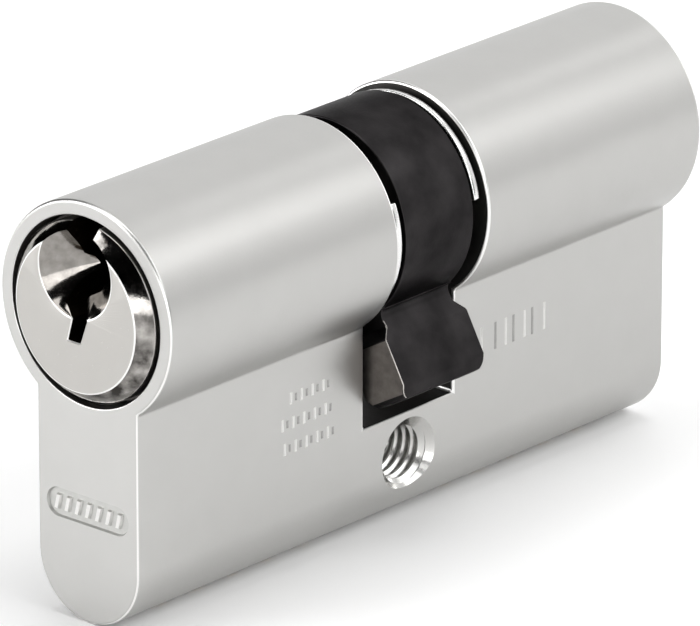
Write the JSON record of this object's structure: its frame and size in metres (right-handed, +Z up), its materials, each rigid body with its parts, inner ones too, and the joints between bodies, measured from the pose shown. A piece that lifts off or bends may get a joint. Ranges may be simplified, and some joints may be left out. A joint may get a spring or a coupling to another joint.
{
  "type": "euro profile double cylinder lock",
  "caption": "Euro profile double lock cylinder with a keyway at each end, a rotating cam with a lever, and a threaded fixing-screw hole.",
  "frame": {"origin": "centre of the fixing-screw hole, on the lock's middle plane, 18.7 mm below the barrel axis", "axes": "+Z up towards the barrel, -Y out of the outer end of the lock, +Y out of its inner end, +X to the right seen from outside"},
  "size_m": [0.0175, 0.0622, 0.033],
  "materials": {
    "satin_nickel": "satin nickel plated brass, fine matt blasted",
    "plug_nickel": "nickel plated brass, satin face, polished chamfer and key funnel",
    "blackened_steel": "black oxide on sintered steel, satin",
    "circlip_steel": "bright spring steel",
    "coupler_steel": "machined steel",
    "brass": "turned brass",
    "pin_steel": "turned hardened steel",
    "spring_steel": "drawn spring wire"
  },
  "bodies": {
    "lock": {"housing": "satin_nickel", "outer_pin_spring_1": "spring_steel", "outer_chamber_plug_1": "brass", "outer_pin_spring_2": "spring_steel", "outer_chamber_plug_2": "brass", "outer_pin_spring_3": "spring_steel", "outer_chamber_plug_3": "brass", "outer_pin_spring_4": "spring_steel", "outer_chamber_plug_4": "brass", "outer_pin_spring_5": "spring_steel", "outer_chamber_plug_5": "brass", "inner_pin_spring_1": "spring_steel", "inner_chamber_plug_1": "brass", "inner_pin_spring_2": "spring_steel", "inner_chamber_plug_2": "brass", "inner_pin_spring_3": "spring_steel", "inner_chamber_plug_3": "brass", "inner_pin_spring_4": "spring_steel", "inner_chamber_plug_4": "brass", "inner_pin_spring_5": "spring_steel", "inner_chamber_plug_5": "brass"},
    "outer_plug": {"outer_plug": "plug_nickel", "outer_circlip": "circlip_steel"},
    "inner_plug": {"inner_plug": "plug_nickel", "inner_circlip": "circlip_steel"},
    "cam": {"cam": "blackened_steel"},
    "outer_coupler": {"outer_coupler": "coupler_steel"},
    "inner_coupler": {"inner_coupler": "coupler_steel"},
    "outer_key_pin_1": {"outer_key_pin_1": "brass"},
    "outer_driver_pin_1": {"outer_driver_pin_1": "pin_steel"},
    "outer_key_pin_2": {"outer_key_pin_2": "brass"},
    "outer_driver_pin_2": {"outer_driver_pin_2": "pin_steel"},
    "outer_key_pin_3": {"outer_key_pin_3": "brass"},
    "outer_driver_pin_3": {"outer_driver_pin_3": "pin_steel"},
    "outer_key_pin_4": {"outer_key_pin_4": "brass"},
    "outer_driver_pin_4": {"outer_driver_pin_4": "pin_steel"},
    "outer_key_pin_5": {"outer_key_pin_5": "brass"},
    "outer_driver_pin_5": {"outer_driver_pin_5": "pin_steel"},
    "inner_key_pin_1": {"inner_key_pin_1": "brass"},
    "inner_driver_pin_1": {"inner_driver_pin_1": "pin_steel"},
    "inner_key_pin_2": {"inner_key_pin_2": "brass"},
    "inner_driver_pin_2": {"inner_driver_pin_2": "pin_steel"},
    "inner_key_pin_3": {"inner_key_pin_3": "brass"},
    "inner_driver_pin_3": {"inner_driver_pin_3": "pin_steel"},
    "inner_key_pin_4": {"inner_key_pin_4": "brass"},
    "inner_driver_pin_4": {"inner_driver_pin_4": "pin_steel"},
    "inner_key_pin_5": {"inner_key_pin_5": "brass"},
    "inner_driver_pin_5": {"inner_driver_pin_5": "pin_steel"}
  },
  "joints": [
    {"name": "outer_plug_turn", "type": "hinge", "parent": "lock", "child": "outer_plug", "pos_m": [0, 0, 0.0187], "axis": [0, -1, 0], "continuous": true},
    {"name": "inner_plug_turn", "type": "hinge", "parent": "lock", "child": "inner_plug", "pos_m": [0, 0, 0.0187], "axis": [0, -1, 0], "continuous": true},
    {"name": "cam_turn", "type": "hinge", "parent": "lock", "child": "cam", "pos_m": [0, 0, 0.0187], "axis": [0, -1, 0], "continuous": true},
    {"name": "outer_coupler_slide", "type": "slide", "parent": "outer_plug", "child": "outer_coupler", "axis": [0, -1, 0], "range_m": [0, 0.0017]},
    {"name": "inner_coupler_slide", "type": "slide", "parent": "inner_plug", "child": "inner_coupler", "axis": [0, -1, 0], "range_m": [0, 0.0017]},
    {"name": "outer_key_pin_1_slide", "type": "slide", "parent": "outer_plug", "child": "outer_key_pin_1", "axis": [0, 0, 1], "range_m": [0, 0.0031]},
    {"name": "outer_driver_pin_1_slide", "type": "slide", "parent": "lock", "child": "outer_driver_pin_1", "axis": [0, 0, -1], "range_m": [0, 0.003], "stiffness_N_per_m": 150, "springref_m": -0.004, "deforming": ["outer_pin_spring_1"]},
    {"name": "outer_key_pin_2_slide", "type": "slide", "parent": "outer_plug", "child": "outer_key_pin_2", "axis": [0, 0, 1], "range_m": [0, 0.0023]},
    {"name": "outer_driver_pin_2_slide", "type": "slide", "parent": "lock", "child": "outer_driver_pin_2", "axis": [0, 0, -1], "range_m": [0, 0.003], "stiffness_N_per_m": 150, "springref_m": -0.004, "deforming": ["outer_pin_spring_2"]},
    {"name": "outer_key_pin_3_slide", "type": "slide", "parent": "outer_plug", "child": "outer_key_pin_3", "axis": [0, 0, 1], "range_m": [0, 0.0027]},
    {"name": "outer_driver_pin_3_slide", "type": "slide", "parent": "lock", "child": "outer_driver_pin_3", "axis": [0, 0, -1], "range_m": [0, 0.003], "stiffness_N_per_m": 150, "springref_m": -0.004, "deforming": ["outer_pin_spring_3"]},
    {"name": "outer_key_pin_4_slide", "type": "slide", "parent": "outer_plug", "child": "outer_key_pin_4", "axis": [0, 0, 1], "range_m": [0, 0.0017]},
    {"name": "outer_driver_pin_4_slide", "type": "slide", "parent": "lock", "child": "outer_driver_pin_4", "axis": [0, 0, -1], "range_m": [0, 0.003], "stiffness_N_per_m": 150, "springref_m": -0.004, "deforming": ["outer_pin_spring_4"]},
    {"name": "outer_key_pin_5_slide", "type": "slide", "parent": "outer_plug", "child": "outer_key_pin_5", "axis": [0, 0, 1], "range_m": [0, 0.0025]},
    {"name": "outer_driver_pin_5_slide", "type": "slide", "parent": "lock", "child": "outer_driver_pin_5", "axis": [0, 0, -1], "range_m": [0, 0.003], "stiffness_N_per_m": 150, "springref_m": -0.004, "deforming": ["outer_pin_spring_5"]},
    {"name": "inner_key_pin_1_slide", "type": "slide", "parent": "inner_plug", "child": "inner_key_pin_1", "axis": [0, 0, 1], "range_m": [0, 0.0031]},
    {"name": "inner_driver_pin_1_slide", "type": "slide", "parent": "lock", "child": "inner_driver_pin_1", "axis": [0, 0, -1], "range_m": [0, 0.003], "stiffness_N_per_m": 150, "springref_m": -0.004, "deforming": ["inner_pin_spring_1"]},
    {"name": "inner_key_pin_2_slide", "type": "slide", "parent": "inner_plug", "child": "inner_key_pin_2", "axis": [0, 0, 1], "range_m": [0, 0.0023]},
    {"name": "inner_driver_pin_2_slide", "type": "slide", "parent": "lock", "child": "inner_driver_pin_2", "axis": [0, 0, -1], "range_m": [0, 0.003], "stiffness_N_per_m": 150, "springref_m": -0.004, "deforming": ["inner_pin_spring_2"]},
    {"name": "inner_key_pin_3_slide", "type": "slide", "parent": "inner_plug", "child": "inner_key_pin_3", "axis": [0, 0, 1], "range_m": [0, 0.0027]},
    {"name": "inner_driver_pin_3_slide", "type": "slide", "parent": "lock", "child": "inner_driver_pin_3", "axis": [0, 0, -1], "range_m": [0, 0.003], "stiffness_N_per_m": 150, "springref_m": -0.004, "deforming": ["inner_pin_spring_3"]},
    {"name": "inner_key_pin_4_slide", "type": "slide", "parent": "inner_plug", "child": "inner_key_pin_4", "axis": [0, 0, 1], "range_m": [0, 0.0017]},
    {"name": "inner_driver_pin_4_slide", "type": "slide", "parent": "lock", "child": "inner_driver_pin_4", "axis": [0, 0, -1], "range_m": [0, 0.003], "stiffness_N_per_m": 150, "springref_m": -0.004, "deforming": ["inner_pin_spring_4"]},
    {"name": "inner_key_pin_5_slide", "type": "slide", "parent": "inner_plug", "child": "inner_key_pin_5", "axis": [0, 0, 1], "range_m": [0, 0.0025]},
    {"name": "inner_driver_pin_5_slide", "type": "slide", "parent": "lock", "child": "inner_driver_pin_5", "axis": [0, 0, -1], "range_m": [0, 0.003], "stiffness_N_per_m": 150, "springref_m": -0.004, "deforming": ["inner_pin_spring_5"]}
  ],
  "couplings": [
    {"joint": "cam_turn", "follows": "outer_plug_turn", "ratio": 1},
    {"joint": "inner_coupler_slide", "follows": "outer_coupler_slide", "ratio": 1}
  ]
}
